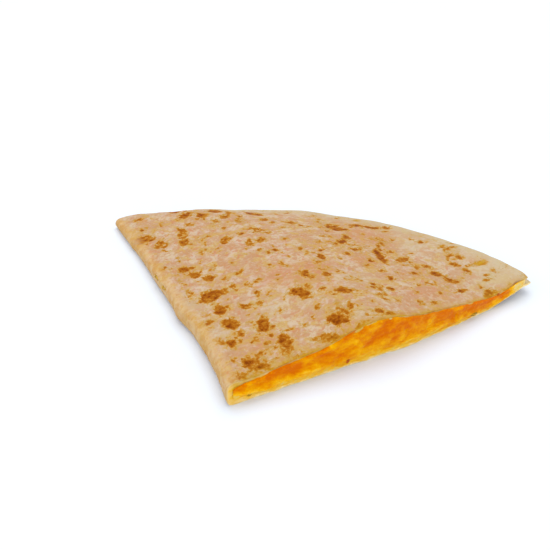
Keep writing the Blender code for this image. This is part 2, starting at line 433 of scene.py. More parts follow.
def clouds(sheet, along, places):
    """0 to 1 in soft round places on the upper sheet, given as across, along and reach in millimetres."""
    total = 0.0
    for place, row, reach in places:
        off = np.hypot(sheet - place * MM, along - row * MM) / (reach * MM)
        total = total + np.exp(-(off**2))
    return np.clip(total, 0.0, 1.0)


def paling(across, along, sheet):
    """The rim, which was not pressed on the pan, is paler, and so are a few places on the top."""
    inward = rim_width(along) - across + 3.0 * MM * layered(sheet, along, 8.0 * MM, 52)
    rim = RIM_PALENESS * np.exp(-np.maximum(inward, 0.0) / RIM_PALE_LENGTH)
    return np.clip(rim + PALE_IN_PLACES * clouds(sheet, along, PALE_PLACES), 0.0, 1.0)


def warming(sheet, along):
    """Rosy places on the top, and fainter ones below."""
    below = 0.5 * smooth(layered(sheet, along, 12.0 * MM, 55) * 2.0) * (sheet < 0.0)
    return np.clip(clouds(sheet, along, WARM_PLACES) + below, 0.0, 1.0)


def gilding(sheet, along, ragged):
    """Small places that oil has turned golden yellow, and a line of them along the upper cut edge."""
    spots = clouds(sheet, along, GOLDEN_PLACES) * (1.0 + 0.5 * ragged)
    spots = GOLDEN_STRENGTH * smooth((spots - 0.15) / 0.85)
    oily = (0.75 + 0.35 * ragged) * np.exp(-along / (1.3 * MM)) * smooth((sheet - 3.0 * MM) / (5.0 * MM))
    return np.clip(spots + oily, 0.0, 1.0)


def on_fold(sheet):
    """1 on the side of the fold, which never touched the pan and is also painted lighter for the light
    falling on it, fading to 0 on the flat of the sheets.
    """
    return 1.0 - smooth((np.abs(sheet) - 1.5 * MM) / (4.0 * MM))


# ---------------------------------------------------------------- tortilla mesh


def row_places():
    """Places of the rows along the fold, a little closer together at its far end."""
    share = np.linspace(0.0, 1.0, ROWS)
    last_turn = math.acos(LAST_ROW_WIDTH / RADIUS)
    bunched = np.sin(last_turn * share) / math.sin(last_turn)
    return RADIUS * math.sin(last_turn) * (0.75 * share + 0.25 * bunched)


def nick(across, along):
    """How far the upper sheet's cut edge is nicked back."""
    return NICK * np.exp(-(((across - NICK_PLACE) / NICK_REACH) ** 2) - along / 0.010)


def sheet_skin(depth):
    """Grids, rows by columns, of the folded sheet `depth` inside its skin: across, up, sheet and along.

    `depth` is a function of across, the distance to the rim and along. The columns run from the lower
    sheet's rim round the fold to the upper sheet's rim.
    """
    along = row_places()[:, None]
    waver = 0.35 * MM * lattice(along, 0.0 * along, 5.0 * MM, 61)
    lower_reach = rim_width(along) + waver
    upper_reach = np.maximum(upper_width(along) + waver, FOLD_DEPTH + 0.3 * MM)

    share = np.linspace(1.0, 0.0, LOWER_STEPS, endpoint=False)[None, :]
    lower = FOLD_DEPTH + (lower_reach - FOLD_DEPTH) * share
    lower_up = lift(lower, along) + depth(lower, lower_reach - lower, along)

    turns = even_turns(FOLD_STEPS)[None, :] + 0.0 * along
    fold, fold_up = fold_profile(along, depth(0.0 * turns, lower_reach, along), turns)

    share = np.linspace(0.0, 1.0, UPPER_STEPS + 1)[None, 1:]
    upper = FOLD_DEPTH + (upper_reach - FOLD_DEPTH) * share
    pressed = PRESSED * np.exp(-along / PRESSED_LENGTH)
    upper_depth = depth(upper, upper_reach - upper, along)
    upper_up = lift(upper, along) + height(upper, along) - upper_depth - pressed

    half_round = FOLD_DEPTH * 1.1
    around = (turns / math.pi * 2.0 - 1.0) * half_round
    sheet = np.hstack((FOLD_DEPTH - half_round - lower, around, upper - FOLD_DEPTH + half_round))
    across = np.hstack((lower, fold, upper))
    rows = np.hstack((along + 0.0 * lower, along + 0.0 * fold, along + nick(upper, along)))
    return across, np.hstack((lower_up, fold_up, upper_up)), sheet, rows


def wander(sheet, along):
    """Unevenness of the knife's line along the cut."""
    return 0.38 * MM * layered(sheet, 0.0 * sheet, 4.0 * MM, 62) * np.exp(-along / (1.5 * MM))


def in_frame(across, along, up):
    """Points of the wedge in the frame, as an array of X, Y and Z."""
    swung = along + cut_swing(across, along)
    inset = fold_inset(across, along)
    return np.stack((CORNER.x + across + inset, CORNER.y + swung, up + 0.0 * across), axis=-1)


def skin_normals(points):
    """Unit normals, pointing into the food, of a grid whose columns run round the fold from below."""
    by_row = np.gradient(points, axis=0)
    by_column = np.gradient(points, axis=1)
    normal = np.cross(by_row, by_column)
    return normal / np.maximum(np.linalg.norm(normal, axis=-1, keepdims=True), 1e-12)


def surface_relief(sheet, along, blister):
    """How far in the outer skin lies: soft rolls, fine grain, blisters, and wrinkles that stand out."""
    across = np.abs(sheet)
    rolls = 0.16 * MM * layered(sheet, along, 9.0 * MM, 71)
    grain = 0.05 * MM * layered(sheet, along, 1.7 * MM, 72, 2)
    lengthways = 1.0 - np.abs(lattice(sheet / WRINKLE_WIDTH, along / WRINKLE_LENGTH, 1.0, 73)) * 4.0
    wrinkles = -WRINKLE * smooth(lengthways) * np.exp(-across / 0.014)
    crossways = 1.0 - np.abs(lattice(sheet / WRINKLE_LENGTH, along / WRINKLE_WIDTH, 1.0, 74)) * 4.0
    wrinkles = wrinkles - WRINKLE * smooth(crossways) * np.exp(-along / 0.012) * np.exp(-across / 0.070)
    return rolls + grain + wrinkles + BLISTER_SINK * smooth(blister * 1.4)


class Builder:
    """Collects points, faces and a value for each point, and makes one mesh object of them."""

    def __init__(self, *values):
        self.points = []
        self.faces = []
        self.values = {name: [] for name in values}
        self.count = 0

    def add(self, points, **values):
        """Adds an array of points and returns their numbers in the array's shape."""
        shape = points.shape[:-1]
        many = int(np.prod(shape))
        self.points.append(points.reshape(-1, 3))
        for name, store in self.values.items():
            store.append(np.broadcast_to(values.get(name, 0.0), shape).reshape(-1).astype(np.float32))
        numbers = np.arange(self.count, self.count + many).reshape(shape)
        self.count += many
        return numbers

    def quads(self, numbers, flip=False):
        """Faces between the rows and columns of a grid of point numbers."""
        near, far = numbers[:-1], numbers[1:]
        corners = (near[:, :-1], far[:, :-1], far[:, 1:], near[:, 1:])
        found = np.stack(corners[::-1] if flip else corners, axis=-1).reshape(-1, 4)
        self.faces.extend(found.tolist())

    def band(self, first, second):
        """Faces between two rows of point numbers."""
        self.quads(np.array((first, second)), flip=True)

    def face(self, numbers):
        self.faces.append([int(number) for number in numbers])

    def object(self, name, material):
        data = bpy.data.meshes.new(name)
        data.from_pydata(np.concatenate(self.points).tolist(), [], self.faces)
        for title, store in self.values.items():
            layer = data.attributes.new(title, "FLOAT", "POINT")
            layer.data.foreach_set("value", np.concatenate(store))
        data.validate()
        data.shade_smooth()
        data.set_sharp_from_angle(angle=SHARP)
        data.materials.append(material)
        return placed(name, data)


def border(rows, columns):
    """Row and column of each point round the edge of a grid, once round."""
    first = [(0, column) for column in range(columns)]
    right = [(row, columns - 1) for row in range(1, rows)]
    last = [(rows - 1, column) for column in range(columns - 2, -1, -1)]
    left = [(row, 0) for row in range(rows - 2, 0, -1)]
    return np.array(first + right + last + left)


def coarse_faces(numbers, stride):
    """Faces over every `stride`-th point of a grid that still meet each point of its border."""
    rows, columns = numbers.shape
    faces = []
    for row in range(0, rows - 1, stride):
        for column in range(0, columns - 1, stride):
            low_row, high_row = row, row + stride
            low_column, high_column = column, column + stride
            step_top = 1 if low_row == 0 else stride
            step_end = 1 if high_column == columns - 1 else stride
            step_last = 1 if high_row == rows - 1 else stride
            step_left = 1 if low_column == 0 else stride
            loop = [numbers[low_row, c] for c in range(low_column, high_column, step_top)]
            loop += [numbers[r, high_column] for r in range(low_row, high_row, step_end)]
            loop += [numbers[high_row, c] for c in range(high_column, low_column, -step_last)]
            loop += [numbers[r, low_column] for r in range(high_row, low_row, -step_left)]
            faces.append([int(number) for number in loop])
    return faces


def sheet_thickness(across, to_rim, along):
    """Thickness of the tortilla: thinner at its rim, a little squeezed at the cut, bunched in the fold."""
    at_rim = 1.0 - (1.0 - THIN_EDGE) * np.exp(-to_rim / THIN_LENGTH)
    at_cut = 1.0 - (1.0 - CUT_THICKNESS) * np.exp(-along / (2.0 * MM))
    past_fold = np.maximum(across - FOLD_DEPTH, 0.0) / FOLD_THICK_REACH
    in_fold = 1.0 + FOLD_THICKENING * np.exp(-(past_fold**2))
    return SHEET * at_rim * at_cut * in_fold


def edge_loops(mesh, outer, inner, edge, across, sheet, along):
    """Rounds the sheet's edge off with loops of points between the skins, and returns their numbers."""
    rows, columns = edge
    inside = outer[np.clip(rows, 2, ROWS - 3), np.clip(columns, 2, outer.shape[1] - 3)]
    away = outer[edge] - inside
    away = away / np.maximum(np.linalg.norm(away, axis=-1, keepdims=True), 1e-9)
    by_cut = smooth(1.0 - along / (1.0 * MM))
    by_fold = np.exp(-((across / (6.0 * MM)) ** 2))
    from_tip = smooth((RADIUS - 0.006 - across) / (8.0 * MM))
    above = smooth((sheet - 0.5 * MM) / (4.0 * MM)) * by_cut
    loops = []
    for level in range(1, EDGE_LEVELS):
        share = level / EDGE_LEVELS
        rough = EDGE_ROUGH * layered(sheet, along, 0.9 * MM, 80 + level, 2)
        bulge = EDGE_BULGE * math.sin(math.pi * share) + rough
        points = outer[edge] * (1.0 - share) + inner[edge] * share + away * bulge[:, None]
        crumb = {"crumb": by_cut, "stain": from_tip * share, "warm": by_fold, "golden": 0.6 * above}
        loops.append(mesh.add(points, pale=1.0, **crumb))
    return loops


def add_inner_skin(mesh, inner, edge, to_rim):
    """Adds the points of the inner skin: a coarse grid and the whole of its border."""
    numbers = -np.ones(to_rim.shape, int)
    wanted = np.zeros(to_rim.shape, bool)
    wanted[::INNER_STRIDE, ::INNER_STRIDE] = True
    wanted[edge] = True
    soaked = smooth(to_rim / (7.0 * MM))[wanted]
    numbers[wanted] = mesh.add(inner[wanted], crumb=soaked, stain=soaked, pale=1.0)
    return numbers


def make_tortilla(material):
    across, up, sheet, along = sheet_skin(lambda across, to_rim, along: 0.0 * to_rim)
    blister = blistering(sheet, along)
    outer = in_frame(across, along + wander(sheet, along), up)
    outer = outer + skin_normals(outer) * surface_relief(sheet, along, blister)[..., None]
    outer[..., 2] = np.maximum(outer[..., 2], 0.0)
    inner_across, inner_up, _, _ = sheet_skin(sheet_thickness)
    inner = in_frame(inner_across, along + wander(sheet, along), inner_up)

    mesh = Builder("blister", "toasted", "pale", "warm", "golden", "side", "crumb", "stain")
    looks = {
        "blister": blister,
        "toasted": toasting(sheet, along),
        "pale": paling(across, along, sheet),
        "warm": warming(sheet, along),
        "golden": gilding(sheet, along, layered(sheet, along, 2.4 * MM, 31)),
        "side": on_fold(sheet),
        "crumb": np.exp(-along / (0.2 * MM)) * smooth((0.5 * MM - sheet) / (2.5 * MM)),
    }
    outer_numbers = mesh.add(outer, **looks)
    mesh.quads(outer_numbers)  # these faces and the strip's are wound facing into the food

    edge = tuple(border(*outer_numbers.shape).T)
    between = edge_loops(mesh, outer, inner, edge, across[edge], sheet[edge], along[edge])
    inner_numbers = add_inner_skin(mesh, inner, edge, rim_width(along) - inner_across)
    strip = np.array([outer_numbers[edge], *between, inner_numbers[edge]])
    mesh.quads(np.hstack((strip, strip[:, :1])), flip=True)
    mesh.faces.extend(face[::-1] for face in coarse_faces(inner_numbers, INNER_STRIDE))
    return mesh.object("folded_tortilla", material)


# ---------------------------------------------------------------- cheese mesh

CHEESE_COLUMNS = 270
NOSE_COLUMNS = 9
FACE_LEVELS = 36
# Places of its inner rows, in millimetres from the cut.
DEEP_ROWS = (
    0.5, 1.5, 2.5, 3.5, 4.6, 7.0, 12.0, 20.0, 30.0, 42.0, 54.0, 66.0, 78.0, 88.0, 97.0, 104.0, 110.0, 114.0,
)
CHEESE_GAP = 0.00005  # between the cheese and the inside of the sheets, at the cut
DEEP_GAP = 0.0002  # and further in
FACE_REACH = 0.1215  # how far towards the tip the cheese shows at the cut
CHEESE_PROUD = 0.00040  # how far the cheese bulges out of the cut
END_ROUND = 0.0015  # how far back its end at the tip rounds off
END_REACH = 0.0024  # and over what length
END_DRAWN = 0.0055  # how much further it reaches at the cut than further in
UPPER_LIP = (0.00060, 0.00125)  # least and most that it has smeared over the upper sheet's cut edge
LOWER_LIP = (-0.00025, 0.00065)  # and over the lower one's
LOWER_LIP_RIGHT = 0.0002  # and more than that towards the tip
NOSE_LIP = 0.0006  # and over the inside of the fold
LEAST_OUT = 0.20 * MM  # how far out of the cut the cheese lies at its edges
# How yellow the cheese is, from 0, deep orange, to 1, pale.
FACE_TONE = 0.55
UPWARD_FALL = 0.38  # how much deeper in colour it is at the top of the cut
FOOT_GLOW = 0.28
NOSE_GLOW = 0.35
MOST_YELLOW = 0.82  # short of its pale end at the tip
PALE_END_START = 0.1085  # where that end begins, from the fold
PALE_END_LENGTH = 0.008  # and over what length it pales
# Patches of the cut face: place across, height, half length and half height.
PALE_PATCHES = (
    (0.020, 0.0030, 0.0055, 0.0020), (0.051, 0.0010, 0.0100, 0.0022), (0.047, 0.0118, 0.0050, 0.0012),
)
DEEP_PATCHES = (
    (0.058, 0.0095, 0.0080, 0.0022), (0.047, 0.0070, 0.0045, 0.0014), (0.018, 0.0072, 0.0040, 0.0014),
    (0.085, 0.0058, 0.0150, 0.0016), (0.036, 0.0062, 0.0030, 0.0018), (0.100, 0.0060, 0.0080, 0.0014),
)


def end_rounding(across, reach):
    """How far back the cheese lies near its end."""
    return END_ROUND * np.clip(1.0 - (reach - across) / END_REACH, 0.0, 1.0) ** 3


def cheese_lines(along, reach, gap):
    """Across, lower and upper height of the filling's columns, from the nose in the fold to the rim."""
    depth = sheet_thickness(0.0, 1.0, along) + gap
    turns = np.linspace(math.radians(12.0), math.pi / 2.0, NOSE_COLUMNS)
    nose_across, nose_low = fold_profile(along, depth, math.pi / 2.0 - turns)
    _, nose_high = fold_profile(along, depth, math.pi / 2.0 + turns)
    across = np.linspace(FOLD_DEPTH, reach, CHEESE_COLUMNS - NOSE_COLUMNS + 1)[1:]
    to_rim = np.maximum(rim_width(along) - across, 0.0)
    low = lift(across, along) + sheet_thickness(across, to_rim, along) + gap
    over = sheet_thickness(across, np.maximum(upper_width(along) - across, 0.0), along) + gap
    high = lift(across, along) + height(across, along) - over
    high = np.maximum(high, low + 0.3 * MM)
    return (
        np.concatenate((nose_across, across)),
        np.concatenate((nose_low, low)),
        np.concatenate((nose_high, high)),
    )


def patches(across, up, places):
    """Soft ovals from 0 to 1, each given as across, up, half length and half height."""
    total = 0.0
    for place, level, length, tall in places:
        total = total + np.exp(-(((across - place) / length) ** 2) - ((up - level) / tall) ** 2)
    return np.clip(total, 0.0, 1.0)


def face_relief(across, up, share):
    """How far the cheese stands out of the cut: lumps, curds, drawn strings and a few pits."""
    lumps = layered(across * 0.8, up, 5.0 * MM, 93)
    curds = layered(across * 0.6, up, 1.9 * MM, 94, 2)
    strings = layered(across * 0.22, up, 1.1 * MM, 95, 2)
    pits = smooth((lattice(across * 0.8, up, 2.6 * MM, 96) - 0.55) / 0.3)
    lower_bulge = np.exp(-(((share - 0.30) / 0.22) ** 2))
    proud = CHEESE_PROUD * (0.8 + 1.0 * lower_bulge)
    relief = 0.42 * lumps + 0.26 * curds + 0.14 * strings - 0.45 * pits
    return proud + MM * relief, curds, strings


def face_edges(across, low, high, from_nose):
    """Heights of the face's lower and upper edge, where the cheese has smeared over the sheets."""
    ragged_top = 0.5 + 0.5 * layered(across, 0.0 * across, 3.6 * MM, 91)
    ragged_foot = 0.5 + 0.5 * layered(across, 0.0 * across + 1.0, 4.2 * MM, 92)
    from_fold = 0.2 + 0.8 * smooth(from_nose / (3.0 * MM))
    before_tip = smooth((FACE_REACH - 0.3 * MM - across) / (7.0 * MM))
    top_lip = UPPER_LIP[0] + (UPPER_LIP[1] - UPPER_LIP[0]) * ragged_top
    foot_lip = LOWER_LIP[0] + (LOWER_LIP[1] - LOWER_LIP[0]) * ragged_foot
    foot_lip = foot_lip + LOWER_LIP_RIGHT * smooth((across - 0.055) / 0.012)
    top = high[None, :] + top_lip * from_fold * before_tip
    foot = low[None, :] - foot_lip * from_fold * smooth((across[:, -1:] - across) / (5.0 * MM))
    return np.maximum(foot, lift(across, 0.0 * across) + 0.15 * MM), top


def face_tone(across, up, above_foot, share, from_nose, texture):
    """How yellow the face is: deeper higher up, paler at its foot, by the fold and at the tip."""
    blotches = layered(across * 0.75, up, 3.2 * MM, 98)
    tone = FACE_TONE - UPWARD_FALL * smooth((share - 0.15) / 0.75) + texture + 0.30 * blotches
    tone = tone + 0.26 * patches(across, up, PALE_PATCHES) - 0.30 * patches(across, up, DEEP_PATCHES)
    by_nose = np.exp(-from_nose / (2.2 * MM)) * (1.0 - share)
    tone = tone + FOOT_GLOW * np.exp(-((above_foot / (1.1 * MM)) ** 2)) + NOSE_GLOW * by_nose
    pale_tip = 0.80 * smooth((across - PALE_END_START) / PALE_END_LENGTH)
    return np.clip(np.minimum(tone, MOST_YELLOW) + pale_tip, 0.0, 1.0)


def cheese_face(across, low, high):
    """The cut face: grids of across, how far it stands out of the cut, up, and how yellow it is."""
    share = np.linspace(0.0, 1.0, FACE_LEVELS + 1)[:, None]
    across = across[None, :] + 0.0 * share
    from_nose = across - across[:, :1]
    foot, top = face_edges(across, low, high, from_nose)
    up = foot + (top - foot) * share
    proud, curds, strings = face_relief(across, up, share)
    thin = smooth((FACE_REACH - across) / (6.0 * MM))
    rounding = smooth(share / 0.28) ** 0.7 * smooth((1.0 - share) / 0.12) ** 0.7
    out = 0.24 * MM + rounding * np.maximum(0.10 * MM + proud * (0.3 + 0.7 * thin), 0.02 * MM)
    out = LEAST_OUT + (out - LEAST_OUT) * smooth(from_nose / (3.5 * MM))
    out = out - end_rounding(across, FACE_REACH)
    tone = face_tone(across, up, up - foot, share, from_nose, 0.34 * curds + 0.16 * strings)
    return across - NOSE_LIP * np.exp(-from_nose / (0.8 * MM)), out, up, tone


def face_points():
    """The cut face in the frame, and how yellow it is at each point."""
    across, out, up, tone = cheese_face(*cheese_lines(0.0, FACE_REACH, CHEESE_GAP))
    face = in_frame(across, 0.0 * across, up)
    face[..., 1] -= out
    return face, tone


def make_cheese(material):
    mesh = Builder("tone")
    face, tone = face_points()
    face_numbers = mesh.add(face, tone=tone)
    mesh.quads(face_numbers, flip=True)
    rings = []
    for along in (0.0,) + DEEP_ROWS:
        row = along * MM
        ragged = 2.5 * MM * lattice(np.array(row), np.array(0.0), 0.013, 97)
        reach = math.sqrt(max(FILLING_RADIUS**2 - row**2, 0.0)) - 1.5 * MM + float(ragged)
        reach = reach + END_DRAWN * math.exp(-row / (3.0 * MM))
        reach = FACE_REACH if along == 0.0 else max(reach, 6.0 * MM)
        across, low, high = cheese_lines(row, reach, CHEESE_GAP if along < 2.0 else DEEP_GAP)
        row = row + end_rounding(across, reach)
        pale_tip = 0.45 * smooth((across - 0.110) / 0.009) * math.exp(-along / 3.0)
        lower = mesh.add(in_frame(across, row, low), tone=0.55 + pale_tip)
        upper = mesh.add(in_frame(across, row, high), tone=0.50 + pale_tip)
        rings.append((lower, upper))
    lower, upper = rings[0]
    mesh.band(lower, face_numbers[0])
    mesh.band(face_numbers[-1], upper)
    mesh.face((*face_numbers[:, 0], upper[0], lower[0]))
    mesh.face((*face_numbers[::-1, -1], lower[-1], upper[-1]))
    for (lower, upper), (next_lower, next_upper) in zip(rings, rings[1:]):
        mesh.band(next_lower, lower)
        mesh.band(upper, next_upper)
        mesh.face((lower[0], upper[0], next_upper[0], next_lower[0]))
        mesh.face((upper[-1], lower[-1], next_lower[-1], next_upper[-1]))
    lower, upper = rings[-1]
    mesh.band(upper, lower)
    return mesh.object("melted_cheese", material)


# ---------------------------------------------------------------- beads and flecks

BLOB_ROWS = 9
BLOB_COLUMNS = 14
BLOB_LUMPS = 0.22  # how far its points stray, as a share of its size
# Each one's place along the fold, how far down the fold's side, length, width and thickness, in millimetres.
BEADS = (
    (72.0, 1.5, 3.4, 1.5, 1.1), (70.2, 1.7, 1.4, 0.9, 0.8), (63.5, 1.5, 2.2, 1.6, 1.3),
    (61.6, 1.2, 1.5, 0.9, 0.8),
)
# Each one's place across and up, length and width in millimetres, turn in degrees and greenness.
FLECKS = (
    (40.3, 2.9, 2.2, 1.3, 80, 0.0), (93.0, 2.6, 2.6, 1.1, 10, 1.0), (6.4, 1.5, 1.4, 0.8, 0, 1.0),
    (105.5, 6.0, 1.7, 1.1, 40, 0.1),
)
FLECK_HALF_THICKNESS = 0.22


def add_blob(mesh, centre, axes, seed, **values):
    """A closed lumpy ellipsoid; `axes` are its three half axes as vectors."""
    rise = np.linspace(0.0, math.pi, BLOB_ROWS + 2)[1:-1][:, None]
    turn = np.linspace(0.0, 2.0 * math.pi, BLOB_COLUMNS, endpoint=False)[None, :]
    sides = (np.sin(rise) * np.cos(turn), np.sin(rise) * np.sin(turn), np.cos(rise) + 0.0 * turn)
    lumps = 1.0 + BLOB_LUMPS * np.random.default_rng(seed).uniform(-1.0, 1.0, sides[0].shape)
    points = sum((side * lumps)[..., None] * np.array(axis) for side, axis in zip(sides, axes))
    numbers = mesh.add(np.array(centre) + points, **values)
    ends = mesh.add(np.array([centre + axes[2], centre - axes[2]]), **values)
    mesh.quads(np.hstack((numbers, numbers[:, :1])))
    for column in range(BLOB_COLUMNS):
        after = (column + 1) % BLOB_COLUMNS
        mesh.face((ends[0], numbers[0, column], numbers[0, after]))
        mesh.face((ends[1], numbers[-1, after], numbers[-1, column]))


def make_beads(material):
    """Cheese that has oozed through the fold in two places."""
    mesh = Builder()
    for number, (along, down, length, width, thick) in enumerate(BEADS):
        turn = math.pi * (1.0 - 0.25 - 0.1 * down)
        across, up = fold_profile(along * MM, 0.0, turn)
        centre = in_frame(float(across), along * MM, float(up))
        axes = np.array((
            (0.0, 0.5 * length, 0.0),
            (-0.35 * width, 0.0, 0.35 * width),
            (0.35 * thick, 0.0, 0.35 * thick),
        ))
        add_blob(mesh, centre, axes * MM, 200 + number)
    return mesh.object("oozed_cheese", material)


def make_flecks(material):
    """Flecks of chilli and herb caught in the cut face."""
    mesh = Builder("green")
    flat = face_points()[0].reshape(-1, 3)
    for number, (across, up, length, width, turn, green) in enumerate(FLECKS):
        wanted = np.array((CORNER.x + across * MM, up * MM))
        nearest = flat[np.argmin(np.hypot(flat[:, 0] - wanted[0], flat[:, 2] - wanted[1]))]
        turned = math.radians(turn)
        axes = np.array((
            (0.5 * length * math.cos(turned), 0.0, 0.5 * length * math.sin(turned)),
            (-0.5 * width * math.sin(turned), 0.0, 0.5 * width * math.cos(turned)),
            (0.0, -FLECK_HALF_THICKNESS, 0.0),
        ))
        add_blob(mesh, nearest, axes * MM, 300 + number, green=green)
    return mesh.object("seasoning_flecks", material)


# ---------------------------------------------------------------- materials


NOISE_SPREAD = 0.075  # how far the noise texture usually strays from its middle


class Paint:
    """A node material with one Principled shader, and short calls for the nodes that feed it."""

    def __init__(self, name):
        self.material = bpy.data.materials.new(name)
        self.material.use_nodes = True
        self.nodes = self.material.node_tree.nodes
        self.links = self.material.node_tree.links
        self.shader = self.nodes["Principled BSDF"]
        self.place = self.nodes.new("ShaderNodeTexCoord").outputs["Object"]

    def feed(self, socket, value):
        """Links a socket, or sets its value."""
        if isinstance(value, bpy.types.NodeSocket):
            self.links.new(value, socket)
        else:
            socket.default_value = value

    def set(self, **values):
        for title, value in values.items():
            self.feed(self.shader.inputs[title.replace("_", " ")], value)

    def value(self, attribute, weight=1.0):
        """The value that a mesh holds for each point, times a weight."""
        node = self.nodes.new("ShaderNodeAttribute")
        node.attribute_name = attribute
        found = node.outputs["Fac"]
        return found if weight == 1.0 else self.maths("MULTIPLY", found, weight)

    def texture(self, kind, scales):
        """A texture node of unit scale, on the object's own place scaled so much each way."""
        mapping = self.nodes.new("ShaderNodeMapping")
        mapping.inputs["Scale"].default_value = scales
        self.links.new(self.place, mapping.inputs["Vector"])
        node = self.nodes.new(kind)
        node.inputs["Scale"].default_value = 1.0
        self.links.new(mapping.outputs["Vector"], node.inputs["Vector"])
        return node

    def noise(self, size, detail=3.0, roughness=0.6, stretch=(1.0, 1.0, 1.0), distortion=0.0):
        """Noise with features about `size` metres wide, round 0, two thirds of it between -1 and 1."""
        node = self.texture("ShaderNodeTexNoise", [1.0 / (size * side) for side in stretch])
        node.inputs["Detail"].default_value = detail
        node.inputs["Roughness"].default_value = roughness
        node.inputs["Distortion"].default_value = distortion
        centred = self.maths("SUBTRACT", node.outputs["Fac"], 0.5)
        return self.maths("DIVIDE", centred, NOISE_SPREAD)

    def specks(self, spacing, radius):
        """1 in small round specks about `spacing` metres apart, 0 between them."""
        node = self.texture("ShaderNodeTexVoronoi", [1.0 / spacing] * 3)
        return self.rise(node.outputs["Distance"], 0.6 * radius / spacing, radius / spacing, 1.0, 0.0)

    def lines(self, spacing, width):
        """1 along thin wandering lines about `spacing` metres apart, 0 between them."""
        wave = self.noise(spacing, 1.0, 0.5, distortion=1.2)
        return self.rise(self.maths("ABSOLUTE", wave), 0.0, width, 1.0, 0.0)

    def maths(self, operation, one, other=0.0):
        node = self.nodes.new("ShaderNodeMath")
        node.operation = operation
        self.feed(node.inputs[0], one)
        self.feed(node.inputs[1], other)
        return node.outputs["Value"]

    def rise(self, value, low, high, to_low=0.0, to_high=1.0):
        """`value` turned smoothly from the range low..high to the range to_low..to_high."""
        node = self.nodes.new("ShaderNodeMapRange")
        node.interpolation_type = "SMOOTHSTEP"
        settings = {"From Min": low, "From Max": high, "To Min": to_low, "To Max": to_high}
        for title, setting in settings.items():
            node.inputs[title].default_value = setting
        self.feed(node.inputs["Value"], value)
        return node.outputs["Result"]

    def mix(self, share, one, other):
        node = self.nodes.new("ShaderNodeMix")
        node.data_type = "RGBA"
        self.feed(node.inputs["Factor"], share)
        self.feed(node.inputs[6], one)
        self.feed(node.inputs[7], other)
        return node.outputs[2]

    def ramp(self, value, stops):
        """Colours along a value, given as (place, colour) pairs."""
        node = self.nodes.new("ShaderNodeValToRGB")
        band = node.color_ramp
        band.elements[0].position, band.elements[0].color = stops[0]
        band.elements[1].position, band.elements[1].color = stops[-1]
        for place, colour in stops[1:-1]:
            band.elements.new(place).color = colour
        self.feed(node.inputs["Fac"], value)
        return node.outputs["Color"]

    def bump(self, *layers):
        """Bumps on bumps, each given as (height socket, depth in metres)."""
        normal = None
        for level, depth in layers:
            node = self.nodes.new("ShaderNodeBump")
            node.inputs["Distance"].default_value = depth
            self.links.new(level, node.inputs["Height"])
            if normal is not None:
                self.links.new(normal, node.inputs["Normal"])
            normal = node.outputs["Normal"]
        self.links.new(normal, self.shader.inputs["Normal"])


LEVEL_LIGHT = 1.38  # what the stage sheds on a level surface, as a share of full white
CUT_LIGHT = 1.02  # and on the cut face
SIDE_LIGHT = 1.14  # and on the fold's side

CREAM = seen(221, 193, 160, LEVEL_LIGHT)
LILAC = seen(219, 187, 166, LEVEL_LIGHT)
TAN = seen(215, 177, 140, LEVEL_LIGHT)
ROSE = seen(209, 163, 125, LEVEL_LIGHT)
SALMON = seen(212, 145, 102, LEVEL_LIGHT)
PEACH = seen(206, 152, 106, LEVEL_LIGHT)
GOLDEN = seen(210, 160, 26, LEVEL_LIGHT)
OCHRE = seen(214, 171, 98, LEVEL_LIGHT)
OLIVE = seen(198, 158, 82, LEVEL_LIGHT)
GOLD = seen(212, 155, 64, LEVEL_LIGHT)
AMBER = seen(196, 125, 32, LEVEL_LIGHT)
BROWN = seen(174, 94, 8, LEVEL_LIGHT)
DARK = seen(138, 62, 2, LEVEL_LIGHT)
RIM_CREAM = seen(216, 195, 156, LEVEL_LIGHT)
# The fold's side colours: a golden tortilla that never touched the pan, partly painted lighter for the light
# falling on that side.
SIDE_GOLD = seen(206, 155, 78, SIDE_LIGHT)
SIDE_CREAM = seen(219, 184, 132, SIDE_LIGHT)
# Painted shade for the tortilla's fine creases.
CREASE_SHADE = seen(184, 138, 88, LEVEL_LIGHT)
CRUMB = seen(252, 226, 164, CUT_LIGHT)
CRUMB_DARK = seen(240, 204, 124, CUT_LIGHT)
CRUMB_FOLD = seen(234, 190, 100, CUT_LIGHT)
STAIN = seen(240, 188, 62, CUT_LIGHT)
STAIN_FOLD = seen(230, 172, 18, CUT_LIGHT)
# The cheese, from deep orange to its pale end.
CHEESE_COLOURS = (
    (0.0, (214, 104, 0)), (0.22, (222, 124, 0)), (0.45, (230, 146, 0)), (0.65, (237, 165, 2)),
    (0.80, (243, 183, 30)), (0.92, (236, 188, 70)), (1.0, (226, 196, 118)),
)
FLOOR_TINTS = ((0.75, 0.78, 0.83, 1.0), (0.76, 0.79, 0.84, 1.0))


